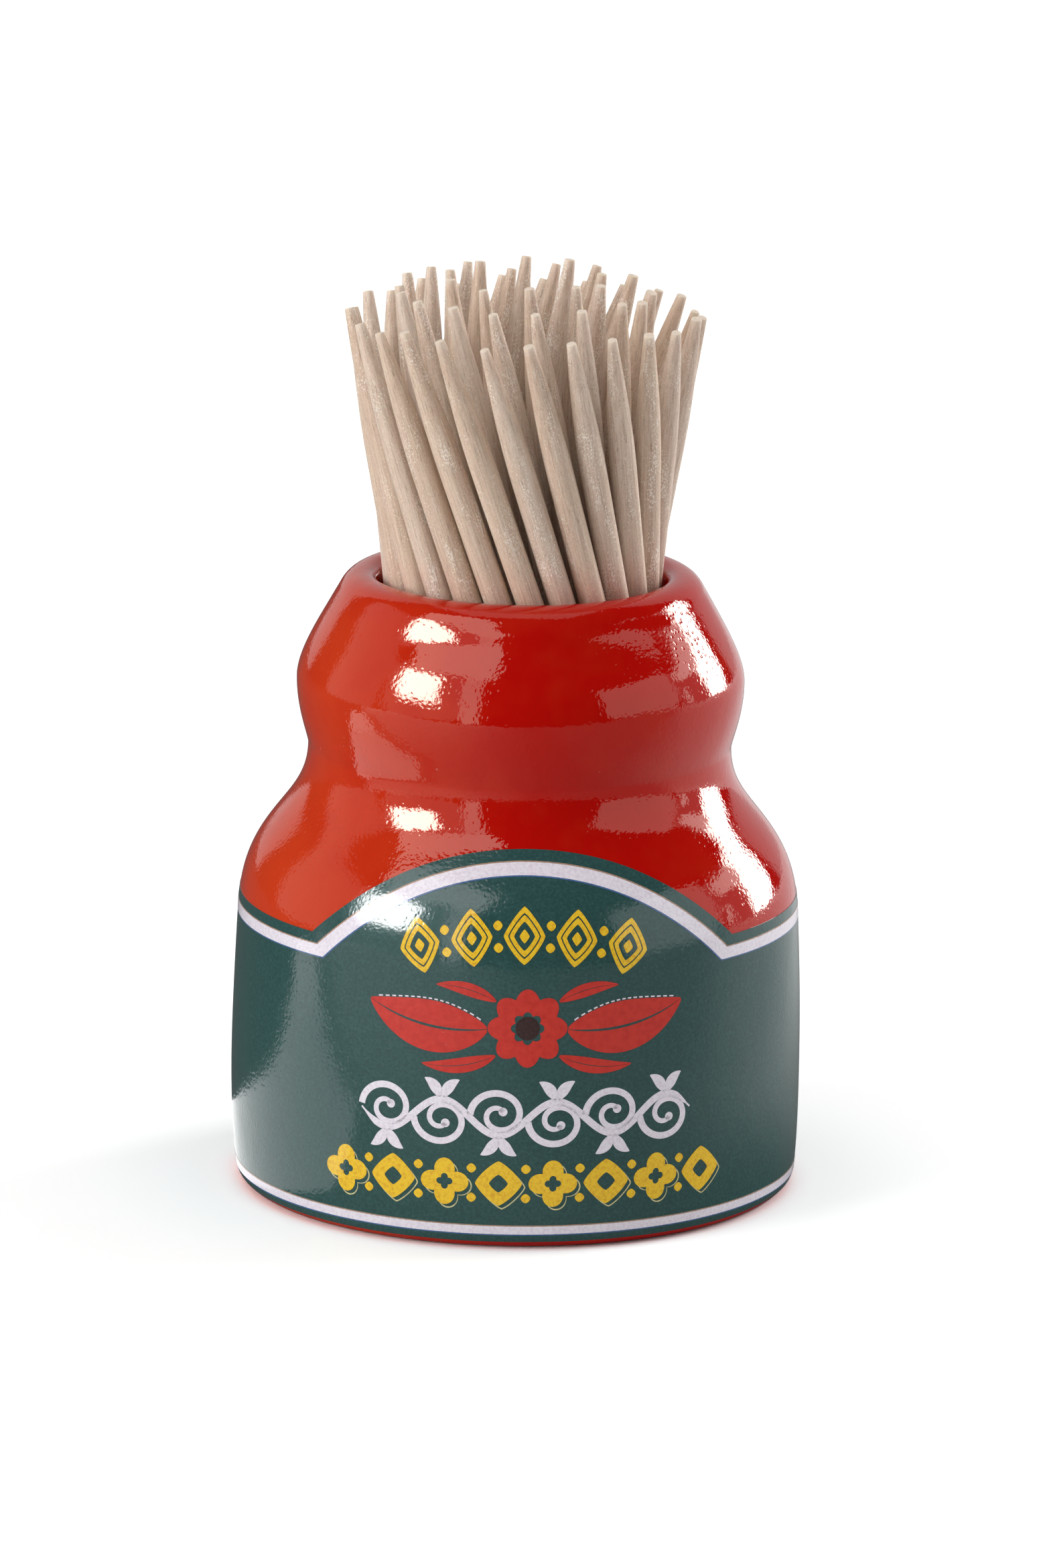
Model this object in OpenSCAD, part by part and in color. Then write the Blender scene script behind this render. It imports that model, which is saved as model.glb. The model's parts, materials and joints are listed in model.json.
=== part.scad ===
// Waisted ceramic jar that holds round wooden toothpicks, standing on a table.
// Origin: centre of the foot, on the table. +Z is up, and the label's arch faces -Y.

/* [Jar] */
// Diameter of the side where it leaves the rounded foot
foot_d = 42.9; // [42.5:0.1:43.3]
// How far the side's curve is drawn outwards between foot and shoulder
side_swell = 0.5; // [0.2:0.1:0.8]
// Radius of the rounding between side and foot
foot_round = 1.5; // [1:0.1:2]
// Width of the flat ring that the jar stands on
foot_ring_w = 3.45; // [2.5:0.05:5]
// Depth of the recess inside that ring
recess_depth = 0.8; // [0.5:0.1:1.2]
// Diameter at the start of the shoulder
shoulder_d = 42.66; // [42.3:0.02:43]
// Height of the start of the shoulder
shoulder_z = 21.3; // [20.5:0.1:22]
// Diameter of the waist
waist_d = 32.24; // [31.8:0.02:33]
// How far the waist lies above the start of the shoulder
waist_rise = 12.75; // [12.2:0.05:13.4]
// Diameter of the bulge above the waist
bulge_d = 34.12; // [33.6:0.02:34.8]
// How far the bulge's widest point lies above the waist
bulge_rise = 5.15; // [4.8:0.05:5.6]
// How far the top of the jar lies above the bulge's widest point
top_rise = 8.3; // [7.7:0.1:8.9]
// How far the rim's outer edge lies under the top of the jar
rim_drop = 1.2; // [1:0.1:1.5]
// Width of the rim from the circle along its top to its outer edge
rim_out = 2; // [1.7:0.1:2.2]
// Width of the rim from the circle along its top to the mouth
rim_in = 1.1; // [0.9:0.1:1.4]

/* [Cavity] */
// Diameter of the mouth at its narrowest
mouth_d = 21.6; // [21.2:0.1:22]
// Depth of the rounded edge inside the mouth
mouth_round = 1.5; // [1.2:0.1:1.8]
// Thickness of the wall, measured sideways
wall = 3.5; // [3:0.1:4]
// Height of the cavity's floor above the table
floor_z = 6.4; // [5.6:0.1:7.2]
// Radius of the rounding between floor and wall inside
floor_round = 1.5; // [1:0.1:2]

/* [Label] */
// Thickness of each layer of printed colour
ink_t = 0.1; // [0.08:0.01:0.12]
// Height of the label's lower edge
label_z = 0.65; // [0.4:0.05:0.9]
// How far the label's upper edge lies above the start of the shoulder, beside the arch
label_side_rise = 1.5; // [0.8:0.1:2.2]
// How far the top of the label's arch lies above that edge
arch_rise = 7.3; // [6.6:0.1:8]
// Radius of the label's arch, seen from the front
arch_r = 20.7; // [20:0.1:22]
// How far the label is turned about the jar's axis
label_turn = 1.5; // [-3:0.5:3]
// Coloured margin outside the upper line
line_margin = 0.85; // [0.6:0.05:1.2]
// Width of the upper line
line_w = 0.85; // [0.6:0.05:1]
// Coloured margin under the lower line
base_margin = 0.65; // [0.5:0.05:0.9]
// Width of the lower line
base_line_w = 0.62; // [0.4:0.02:0.8]

/* [Toothpick] */
// Length of the longest toothpick
pick_len = 65; // [63:0.5:66]
// How much shorter the shortest toothpick is
len_spread = 0.9; // [0:0.1:1.5]
// Diameter of a toothpick at its middle
pick_d = 2.05; // [1.9:0.05:2.1]
// Diameter of a toothpick's blunt tips
tip_d = 0.86; // [0.7:0.02:1]
// Length over which each end narrows
taper_len = 12; // [10:0.5:14]

/* [Bundle] */
// How far under the top of the jar the leaning toothpicks come closest together
neck_depth = 6.4; // [5.6:0.1:7.2]
// Gap between the outer toothpicks and the mouth, at the neck of the bundle
mouth_gap = 0.36; // [0.3:0.01:0.44]
// Gap between the feet of the outer toothpicks and the cavity's wall
foot_gap = 2.1; // [1.8:0.05:2.4]
// Gap between the rings of toothpicks, at the neck of the bundle
ring_gap = 0.64; // [0.56:0.02:0.72]
// Least gap between neighbours in the outer ring, measured level at the neck of the bundle
outer_gap = 0.3; // [0.26:0.01:0.36]
// The same for neighbours in the inner rings
inner_gap = 0.27; // [0.22:0.01:0.32]
// How far a tip in the outer ring strays from its even place
outer_stray = 0.2; // [0:0.02:0.28]
// How far a tip in the inner rings strays from its even place
inner_stray = 0.3; // [0:0.05:0.5]
// Gap under the toothpicks' feet
rest_gap = 0.15; // [0.1:0.05:0.3]

/* [Hidden] */
turn_fn = 72;
cut = 1;
curve_steps = 7;
edge_steps = 5;
taper_steps = 6;

// Radii of the jar
foot_r = foot_d / 2;
shoulder_r = shoulder_d / 2;
waist_r = waist_d / 2;
bulge_r = bulge_d / 2;
mouth_r = mouth_d / 2;
crest_r = mouth_r + rim_in;
rim_r = crest_r + rim_out;
cavity_r = foot_r - wall;

// Heights of the jar
waist_z = shoulder_z + waist_rise;
bulge_z = waist_z + bulge_rise;
jar_h = bulge_z + top_rise;

// A cubic curve between two points, bent towards two handles. The first point is left out.
function curve(a, b, c, d, steps) = [
    for (i = [1 : steps]) let (t = i / steps, u = 1 - t)
        u * u * u * a + 3 * u * u * t * b + 3 * u * t * t * c + t * t * t * d
];
// A quarter circle that swells outwards from the point a to the point b
function quarter_out(a, b, steps) = [
    for (i = [1 : steps]) let (s = 90 * i / steps)
        [a[0] + (b[0] - a[0]) * sin(s), b[1] + (a[1] - b[1]) * cos(s)]
];

// Handles of each stretch, as shares of the stretch's height
side_start_share = 0.29;
side_end_share = 0.364;
side_lean_share = 0.018;
shoulder_start_share = 0.565;
shoulder_end_share = 0.413;
waist_start_share = 0.12;
waist_end_share = 0.5;
bulge_start_share = 0.28;
rim_end_share = 0.3;
edge_share = 0.6;

// The wall from foot to rim, drawn in by the given distance
function side(inset, low) = let (
    foot = [foot_r - inset, low],
    shoulder = [shoulder_r - inset, shoulder_z],
    waist = [waist_r - inset, waist_z],
    bulge = [bulge_r - inset, bulge_z],
    rise = shoulder_z - low,
    fall = waist_z - shoulder_z,
    lift = bulge_z - waist_z
) concat(
    curve(foot, foot + [side_swell, rise * side_start_share],
        shoulder + [side_lean_share, -side_end_share] * rise, shoulder, curve_steps),
    curve(shoulder, shoulder + [-side_lean_share, shoulder_start_share] * fall,
        waist - [0, fall * shoulder_end_share], waist, curve_steps),
    curve(waist, waist + [0, lift * waist_start_share],
        bulge - [0, lift * waist_end_share], bulge, curve_steps)
);

// The outside of the jar, from the foot's flat ring to the top of the rim
foot_flat_r = foot_r - foot_round;
foot_corner = quarter_out([foot_flat_r, 0], [foot_r, foot_round], edge_steps);
side_points = concat([[foot_flat_r, 0]], foot_corner, side(0, foot_round));
rim_edge = [rim_r, jar_h - rim_drop];
neck_rise = rim_edge[1] - bulge_z;
crest = [crest_r, jar_h];
rim_points = concat(
    curve([bulge_r, bulge_z], [bulge_r, bulge_z + neck_rise * bulge_start_share],
        rim_edge + [bulge_r - rim_r, -neck_rise] * rim_end_share, rim_edge, curve_steps),
    curve(rim_edge, rim_edge - [bulge_r - rim_r, -neck_rise] * rim_end_share * rim_drop / neck_rise,
        crest + [rim_r - crest_r, 0] * edge_share, crest, edge_steps)
);

// The mouth's rounded edge, its straight throat and the cavity, from the top down
throat_top = [mouth_r, jar_h - mouth_round];
throat_low = [mouth_r, throat_top[1] - mouth_round];
bulge_in = [bulge_r - wall, bulge_z];
throat_rise = throat_low[1] - bulge_z;
mouth_points = concat(
    curve(crest, crest - [crest_r - mouth_r, 0] * edge_share,
        throat_top + [0, mouth_round * edge_share], throat_top, edge_steps),
    [throat_low],
    curve(throat_low, throat_low - [0, throat_rise * rim_end_share],
        bulge_in + [0, throat_rise * waist_end_share], bulge_in, curve_steps)
);
cavity_side = side(wall, floor_z + floor_round);
cavity_points = concat(
    [for (i = [len(cavity_side) - 2 : -1 : 0]) cavity_side[i]],
    [[cavity_r, floor_z + floor_round]],
    [for (i = [1 : edge_steps]) let (s = 90 * i / edge_steps)
        [cavity_r - floor_round * (1 - cos(s)), floor_z + floor_round * (1 - sin(s))]]
);
recess_r = foot_flat_r - foot_ring_w;

// The bundle: at neck_z the toothpicks stand in rings, and each leans along its ring, so that the
// whole bundle spreads evenly above and below without any two meeting. It passes through the
// mouth and the waist.
pick_r = pick_d / 2;
tip_r = tip_d / 2;
ring_step = pick_d + ring_gap;
passage_r = min(mouth_r, waist_r - wall);
outer_ring_r = passage_r - mouth_gap - pick_r;
neck_z = jar_h - neck_depth;
feet_drop = neck_z - floor_z - rest_gap;
feet_r = cavity_r - foot_gap - tip_r;
twist = sqrt(pow(feet_r / outer_ring_r, 2) - 1) / feet_drop;
function ring_r(ring) = outer_ring_r - ring * ring_step;
function ring_gap_of(ring) = ring == 0 ? outer_gap : inner_gap;
function stray_of(ring) = ring == 0 ? outer_stray : inner_stray;
// As many as fit around a ring
function ring_count(ring) = floor(180 / asin((pick_d + ring_gap_of(ring)) / 2 / ring_r(ring)));
rings = [0, 1, 2];
counts = [for (ring = rings) ring_count(ring)];
picks = [for (ring = rings, i = [0 : counts[ring] - 1]) [ring, i]];
pick_total = len(picks);

// Uneven places, the same each time
stray_seed = 11;
turn_seed = 5;
len_seed = 7;
least_share = 0.3;
stray_dirs = rands(0, 360, pick_total, stray_seed);
stray_shares = rands(least_share, 1, pick_total, turn_seed);
short_shares = rands(0, 1, pick_total, len_seed);
function length_of(n) = pick_len - len_spread * short_shares[n];
ring_start_shares = [0.15, 0.6, 0.35];
function pick_angle(n) = let (ring = picks[n][0], i = picks[n][1])
    -90 + 360 * (i + ring_start_shares[ring]) / counts[ring];
function neck_point(n) = let (r = ring_r(picks[n][0]), a = pick_angle(n))
    [r * cos(a), r * sin(a), neck_z];
// Sideways travel of a toothpick's axis for each unit of height
tips_rise = pick_len - feet_drop;
function pick_slope(n) = let (
    p = neck_point(n),
    off = stray_of(picks[n][0]) * stray_shares[n] / tips_rise
) [twist * p[1] + off * cos(stray_dirs[n]), -twist * p[0] + off * sin(stray_dirs[n])];
function pick_lean(n) = atan(norm(pick_slope(n)));
function pick_heading(n) = atan2(pick_slope(n)[1], pick_slope(n)[0]);
function pick_foot(n) = let (
    p = neck_point(n),
    s = pick_slope(n),
    foot_z = floor_z + rest_gap + tip_r * sin(pick_lean(n)),
    down = foot_z - neck_z
) [p[0] + s[0] * down, p[1] + s[1] * down, foot_z];
function pick_axis(n) = let (s = pick_slope(n), v = [s[0], s[1], 1]) v / norm(v);

// Half of a toothpick's outline: blunt tip, rounded taper, straight middle, and the same again
taper_points = [
    for (i = [0 : taper_steps]) let (t = i / taper_steps)
        [tip_r + (pick_r - tip_r) * sin(90 * t), taper_len * t]
];
function pick_outline(long) = concat(
    [[0, 0]],
    taper_points,
    [for (i = [taper_steps : -1 : 0]) [taper_points[i][0], long - taper_points[i][1]]],
    [[0, long]]
);

function two_digits(n) = n < 10 ? str("0", n) : str(n);
pick_names = [for (n = [1 : pick_total]) str("toothpick_", two_digits(n))];

// The hollow jar, one turned shape with a recess under its foot
module jar() {
    color("firebrick")
    difference() {
        rotate_extrude($fn = turn_fn)
            polygon(concat([[0, 0]], side_points, rim_points, mouth_points, cavity_points,
                [[0, floor_z]]));
        translate([0, 0, -cut])
            cylinder(r = recess_r, h = recess_depth + cut, $fn = turn_fn);
    }
}

// A skin on the jar's side between two distances from the glaze
module skin(near, far) {
    points = [for (p = side_points) if (p[1] <= waist_z) p];
    rotate_extrude($fn = turn_fn)
        polygon(concat(
            [for (p = points) p + [near, 0]],
            [for (i = [len(points) - 1 : -1 : 0]) points[i] + [far, 0]]
        ));
}

// The space inside the label's upper edge, drawn in by the given distance
label_side_z = shoulder_z + label_side_rise;
arch_z = label_side_z + arch_rise;
base_line_z = label_z + base_margin;
module label_space(inset) {
    reach = max(foot_r, shoulder_r) + side_swell + cut;
    translate([0, 0, label_z])
        cylinder(r = reach, h = label_side_z - inset - label_z, $fn = turn_fn);
    translate([0, 0, arch_z - arch_r])
        rotate([90, 0, 0])
            cylinder(r = arch_r - inset, h = reach, $fn = turn_fn);
}

// The coloured field of the label, all round the jar with an arch in front
module label_field() {
    color("darkslategray")
    rotate([0, 0, label_turn])
        intersection() {
            skin(0, ink_t);
            label_space(0);
            translate([0, 0, label_z])
                cylinder(r = foot_d, h = jar_h, $fn = turn_fn);
        }
}

// The pale lines: one follows the label's upper edge, one runs round above its lower edge
module label_lines() {
    color("lavender")
    rotate([0, 0, label_turn]) {
        intersection() {
            skin(ink_t, 2 * ink_t);
            difference() {
                label_space(line_margin);
                label_space(line_margin + line_w);
            }
            translate([0, 0, shoulder_z / 2])
                cylinder(r = foot_d, h = jar_h, $fn = turn_fn);
        }
        intersection() {
            skin(ink_t, 2 * ink_t);
            translate([0, 0, base_line_z])
                cylinder(r = foot_d, h = base_line_w, $fn = turn_fn);
        }
    }
}

// One toothpick, by its number from 0
module toothpick(n) {
    color("burlywood")
    translate(pick_foot(n))
        rotate([0, pick_lean(n), pick_heading(n)])
            rotate_extrude($fn = turn_fn)
                polygon(pick_outline(length_of(n)));
}

jar();
label_field();
label_lines();
for (n = [0 : pick_total - 1])
    toothpick(n);
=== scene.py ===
# A waisted ceramic jar full of toothpicks, on a white table in soft studio light
import json
import math
import bpy
import bmesh
import numpy as np
from mathutils import Matrix, Vector

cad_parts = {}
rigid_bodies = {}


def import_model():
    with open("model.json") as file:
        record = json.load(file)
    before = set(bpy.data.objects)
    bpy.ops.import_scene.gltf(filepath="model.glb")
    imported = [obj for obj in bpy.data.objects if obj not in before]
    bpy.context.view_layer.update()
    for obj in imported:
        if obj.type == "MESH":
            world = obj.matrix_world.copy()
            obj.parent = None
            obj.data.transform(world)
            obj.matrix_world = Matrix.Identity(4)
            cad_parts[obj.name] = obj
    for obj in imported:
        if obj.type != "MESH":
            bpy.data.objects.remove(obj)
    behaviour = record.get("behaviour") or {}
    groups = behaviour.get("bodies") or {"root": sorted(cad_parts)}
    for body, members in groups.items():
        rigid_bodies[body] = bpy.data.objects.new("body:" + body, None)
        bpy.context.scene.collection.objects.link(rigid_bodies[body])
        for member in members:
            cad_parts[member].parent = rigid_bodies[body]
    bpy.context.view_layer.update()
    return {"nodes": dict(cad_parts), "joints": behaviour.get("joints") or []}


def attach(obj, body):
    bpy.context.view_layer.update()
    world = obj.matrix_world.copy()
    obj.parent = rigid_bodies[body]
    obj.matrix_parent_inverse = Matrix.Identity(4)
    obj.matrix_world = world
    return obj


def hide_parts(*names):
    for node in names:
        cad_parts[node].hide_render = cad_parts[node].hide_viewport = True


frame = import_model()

mm = 0.001               # shapes are worked out in millimetres and put into meshes in metres
mergeGap = 0.0005        # points nearer to each other than this, in mm, are one point
sceneObjects = bpy.context.scene.collection.objects
print("frame loaded:", len(frame["nodes"]), "nodes")


# Mesh helpers

# Faces of a grid of points: cell (row i, column j) joins its point to the next column and the next row.
# Where the grid goes round, its last column joins its first.
def gridFaces(rows, columns, around):
    i = np.arange(rows - 1)[:, None]
    j = np.arange(columns if around else columns - 1)[None, :]
    after = (j + 1) % columns
    corners = [i * columns + j, i * columns + after, (i + 1) * columns + after, (i + 1) * columns + j]
    return np.stack(np.broadcast_arrays(*corners), -1).reshape(-1, 4)


# A mesh object from points in mm and quads. Poles and seams are merged and faces turned outwards.
def makePiece(name, body, points, faces, materials, replaced=(), attributes=None, sharp=None):
    mesh = bpy.data.meshes.new(name)
    mesh.from_pydata((points * mm).tolist(), [], faces.tolist())
    for attribute, values in (attributes or {}).items():
        kind, field = ("FLOAT_VECTOR", "vector") if values.ndim == 2 else ("FLOAT", "value")
        layer = mesh.attributes.new(attribute, kind, "POINT")
        layer.data.foreach_set(field, values.astype(np.float32).ravel())
    work = bmesh.new()
    work.from_mesh(mesh)
    bmesh.ops.remove_doubles(work, verts=work.verts, dist=mergeGap * mm)
    bmesh.ops.recalc_face_normals(work, faces=work.faces)
    work.to_mesh(mesh)
    work.free()
    mesh.shade_smooth()
    if sharp:
        mesh.set_sharp_from_angle(angle=math.radians(sharp))
    for material in materials:
        mesh.materials.append(material)
    piece = bpy.data.objects.new(name, mesh)
    sceneObjects.link(piece)
    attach(piece, body)
    if replaced:
        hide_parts(*replaced)
    return piece


# Material helpers

colourMix = {"data_type": "RGBA"}
valueMix = {"data_type": "FLOAT"}
smooth = {"interpolation_type": "SMOOTHSTEP"}


# sRGB hex to linear: the piecewise sRGB curve on each channel
def colour(hexCode):
    channels = [int(hexCode[k:k + 2], 16) / 255 for k in (1, 3, 5)]
    return [c / 12.92 if c <= 0.04045 else ((c + 0.055) / 1.055) ** 2.4 for c in channels] + [1.0]


# Adds a node, sets its properties and inputs, and links the inputs that are given another node's output.
# An input goes by its name, with _ for a space, or by i and its number.
def addNode(tree, kind, settings=None, **inputs):
    node = tree.nodes.new(kind)
    for key, value in (settings or {}).items():
        setattr(node, key, value)
    for key, value in inputs.items():
        numbered = key[0] == "i" and key[1:].isdigit()
        socket = node.inputs[int(key[1:]) if numbered else key.replace("_", " ")]
        if isinstance(value, bpy.types.NodeSocket):
            tree.links.new(value, socket)
        else:
            socket.default_value = value
    return node


# An empty material and its node tree
def newMaterial(name):
    material = bpy.data.materials.new(name)
    material.use_nodes = True
    tree = material.node_tree
    tree.nodes.clear()
    return material, tree


# Noise between two colours. size is the real width of its blotches in mm.
def noiseMix(tree, place, size, first, second, low, high, detail=2.0):
    grain = addNode(tree, "ShaderNodeTexNoise", Vector=place, Scale=1 / (size * mm), Detail=detail,
                    Roughness=0.55)
    ramp = addNode(tree, "ShaderNodeMapRange", i0=grain.outputs["Fac"], i1=low, i2=high)
    mix = addNode(tree, "ShaderNodeMix", colourMix, i0=ramp.outputs[0], i6=colour(first), i7=colour(second))
    return mix.outputs[2]


# The jar's shape

jar = {
    "footD": 42.9, "sideSwell": 0.5, "footRound": 1.5, "footRingW": 3.45, "recessDepth": 0.8,
    "shoulderD": 42.66, "shoulderZ": 21.3, "waistD": 32.24, "waistRise": 12.75,
    "bulgeD": 34.12, "bulgeRise": 5.15, "topRise": 8.3, "rimDrop": 1.2, "rimOut": 2.0, "rimIn": 1.1,
    "mouthD": 21.6, "mouthRound": 1.5, "wall": 3.5, "floorZ": 6.4, "floorRound": 1.5, "bareH": 0.05,
}
# Reach of the handles of the jar's curves, as shares of the stretch that each curve spans
handles = {
    "sideStart": 0.29, "sideEnd": 0.364, "sideLean": 0.018, "shoulderStart": 0.565, "shoulderEnd": 0.413,
    "waistStart": 0.12, "waistEnd": 0.5, "bulgeStart": 0.28, "rimEnd": 0.3, "edge": 0.6,
}
# Points of the mesh along each stretch of the profile, and round the jar
jarSteps = {
    "recess": 14, "recessEdge": 5, "footRing": 6, "foot": 14, "side": (44, 44, 18), "neck": 30, "crest": 14,
    "mouth": 12, "throat": 4, "cavityNeck": 12, "cavitySide": (20, 18, 8), "floorEdge": 8, "floor": 14,
    "around": 256,
}
# The hand of the maker: each wave is (turns round the jar, turns per mm of height, phase, size in mm)
glazeWaves = [(2, 0.021, 0.4, 0.035), (3, 0.043, 2.1, 0.022), (5, 0.061, 4.4, 0.012), (7, 0.083, 1.3, 0.007)]
# and each soft swell of the neck is (degrees round the jar, height, spread in degrees, spread in mm, size)
neckSwells = [
    (-33, 42.3, 32, 1.4, 0.13), (-27, 46.85, 38, 1.8, 0.55), (0, 44.1, 75, 2.3, 0.23),
    (0, 46.5, 75, 0.7, -0.32), (32, 41.6, 24, 1.4, 0.25), (24, 46.9, 23, 1.3, 0.4),
    (-24, 45.15, 16, 1.2, -0.22),
]
footR = jar["footD"] / 2
shoulderR = jar["shoulderD"] / 2
waistR = jar["waistD"] / 2
bulgeR = jar["bulgeD"] / 2
mouthR = jar["mouthD"] / 2
crestR = mouthR + jar["rimIn"]
rimR = crestR + jar["rimOut"]
shoulderZ = jar["shoulderZ"]
waistZ = shoulderZ + jar["waistRise"]
bulgeZ = waistZ + jar["bulgeRise"]
jarH = bulgeZ + jar["topRise"]


# A cubic curve: the cubes of (1 - t) and t weigh its ends, and their mixed products weigh its two handles
def cubic(a, b, c, d, steps):
    t = np.linspace(0, 1, steps + 1)[1:, None]
    a, b, c, d = (np.array(p, float) for p in (a, b, c, d))
    return (1 - t) ** 3 * a + 3 * (1 - t) ** 2 * t * b + 3 * (1 - t) * t ** 2 * c + t ** 3 * d


# A quarter turn between two points, from the direction along x or along z, by sine and cosine
def quarter(a, b, steps, xFirst):
    t = np.linspace(0, math.pi / 2, steps + 1)[1:, None]
    a, b = np.array(a, float), np.array(b, float)
    lead, follow = np.sin(t), 1 - np.cos(t)
    shares = np.hstack([lead, follow]) if xFirst else np.hstack([follow, lead])
    return a + (b - a) * shares


# The wall from foot to bulge, drawn in by inset: three cubic curves, as radius and height
def sideProfile(inset, low, steps):
    rise, fall, lift = shoulderZ - low, waistZ - shoulderZ, bulgeZ - waistZ
    foot, shoulder = [footR - inset, low], [shoulderR - inset, shoulderZ]
    waist, bulge = [waistR - inset, waistZ], [bulgeR - inset, bulgeZ]
    lean = handles["sideLean"]
    return np.vstack([
        cubic(foot, [foot[0] + jar["sideSwell"], low + rise * handles["sideStart"]],
              [shoulder[0] + lean * rise, shoulderZ - handles["sideEnd"] * rise], shoulder, steps[0]),
        cubic(shoulder, [shoulder[0] - lean * fall, shoulderZ + handles["shoulderStart"] * fall],
              [waist[0], waistZ - handles["shoulderEnd"] * fall], waist, steps[1]),
        cubic(waist, [waist[0], waistZ + lift * handles["waistStart"]],
              [bulge[0], bulgeZ - lift * handles["waistEnd"]], bulge, steps[2]),
    ])


# A straight stretch from a to b in even steps, without a
def straight(a, b, steps):
    return np.linspace(a, b, steps)[1:]


flatR = footR - jar["footRound"]
recessR = flatR - jar["footRingW"]
edgeRound = jar["recessDepth"] / 2
underside = np.vstack([
    [[0, jar["recessDepth"]]],
    straight([0, jar["recessDepth"]], [recessR - edgeRound, jar["recessDepth"]], jarSteps["recess"]),
    quarter([recessR - edgeRound, jar["recessDepth"]], [recessR, edgeRound], jarSteps["recessEdge"], True),
    quarter([recessR, edgeRound], [recessR + edgeRound, 0], jarSteps["recessEdge"], False),
    straight([recessR + edgeRound, 0], [flatR, 0], jarSteps["footRing"]),
])
outside = np.vstack([
    [[flatR, 0]],
    quarter([flatR, 0], [footR, jar["footRound"]], jarSteps["foot"], True),
    sideProfile(0, jar["footRound"], jarSteps["side"]),
])
rimEdge = [rimR, jarH - jar["rimDrop"]]
neckRise = rimEdge[1] - bulgeZ
neckIn = bulgeR - rimR
crestShare = handles["rimEnd"] * jar["rimDrop"] / neckRise
rim = np.vstack([
    cubic([bulgeR, bulgeZ], [bulgeR, bulgeZ + neckRise * handles["bulgeStart"]],
          [rimR + neckIn * handles["rimEnd"], rimEdge[1] - neckRise * handles["rimEnd"]], rimEdge,
          jarSteps["neck"]),
    cubic(rimEdge, [rimR - neckIn * crestShare, rimEdge[1] + neckRise * crestShare],
          [crestR + jar["rimOut"] * handles["edge"], jarH], [crestR, jarH], jarSteps["crest"]),
])
throatZ = jarH - jar["mouthRound"]
throatLow = throatZ - jar["mouthRound"]
throatRise = throatLow - bulgeZ
neckR = bulgeR - jar["wall"]
cavityLow = jar["floorZ"] + jar["floorRound"]
cavityR = footR - jar["wall"]
cavityFlatR = cavityR - jar["floorRound"]
inside = np.vstack([
    cubic([crestR, jarH], [crestR - jar["rimIn"] * handles["edge"], jarH],
          [mouthR, throatZ + jar["mouthRound"] * handles["edge"]], [mouthR, throatZ], jarSteps["mouth"]),
    straight([mouthR, throatZ], [mouthR, throatLow], jarSteps["throat"]),
    cubic([mouthR, throatLow], [mouthR, throatLow - throatRise * handles["rimEnd"]],
          [neckR, bulgeZ + throatRise * handles["waistEnd"]], [neckR, bulgeZ], jarSteps["cavityNeck"]),
    sideProfile(jar["wall"], cavityLow, jarSteps["cavitySide"])[-2::-1],
    [[cavityR, cavityLow]],
    quarter([cavityR, cavityLow], [cavityFlatR, jar["floorZ"]], jarSteps["floorEdge"], False),
    straight([cavityFlatR, jar["floorZ"]], [0, jar["floorZ"]], jarSteps["floor"]),
])


# The glaze's slow waves: a sum of cosines of the angle and the height, in mm along the surface's normal
def glazeWave(angle, height):
    return sum(size * np.cos(turns * angle + 2 * math.pi * rate * height + phase)
               for turns, rate, phase, size in glazeWaves)


# Swells of the outside: bell curves exp(-(distance / spread) ^ 2) over angle and height
def neckSwell(angle, height):
    total = 0.0
    for middle, level, spread, tall, size in neckSwells:
        away = (np.degrees(angle) - middle + 180) % 360 - 180
        total = total + size * np.exp(-(away / spread) ** 2 - ((height - level) / tall) ** 2)
    return total


# Points of a profile turned about +Z. Angle 0 faces the front (-Y) and grows towards +X.
# Each point moves along the profile's normal by lift, by the glaze's waves and by the swells.
def turned(radius, height, normalR, normalZ, angle, lift, still=1.0):
    move = lift + still * (glazeWave(angle, height) + neckSwell(angle, height) * np.clip(normalR, 0, 1))
    r = radius + normalR * move
    return np.stack([r * np.sin(angle), -r * np.cos(angle), height + normalZ * move], -1)


# The jar: the whole profile carried round the axis. Its waves fade out over the rounded foot, and none are on
# the underside or near the axis, so that it stands flat. The faces that stand on the table are bare clay.
def makeJar():
    profile = np.vstack([underside, outside[1:], rim, inside])
    slope = np.gradient(profile, axis=0)
    slope /= np.linalg.norm(slope, axis=1, keepdims=True)
    angle = np.linspace(0, 2 * math.pi, jarSteps["around"], endpoint=False)[None, :]
    still = np.clip(profile[:, 1] / jar["footRound"], 0, 1)
    still[:len(underside)] = 0
    still[profile[:, 0] < jar["footRound"]] = 0
    points = turned(profile[:, :1], profile[:, 1:], slope[:, 1:], -slope[:, :1], angle, 0.0, still[:, None])
    faces = gridFaces(len(profile), jarSteps["around"], True)
    materials = [redGlaze(), bareClay()]
    piece = makePiece("glazed_jar", "jar", points.reshape(-1, 3), faces, materials, ["jar"])
    centres = np.empty(len(piece.data.polygons) * 3)
    piece.data.polygons.foreach_get("center", centres)
    bare = centres[2::3] < jar["bareH"] * mm
    piece.data.polygons.foreach_set("material_index", bare.astype(np.int32))


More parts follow.
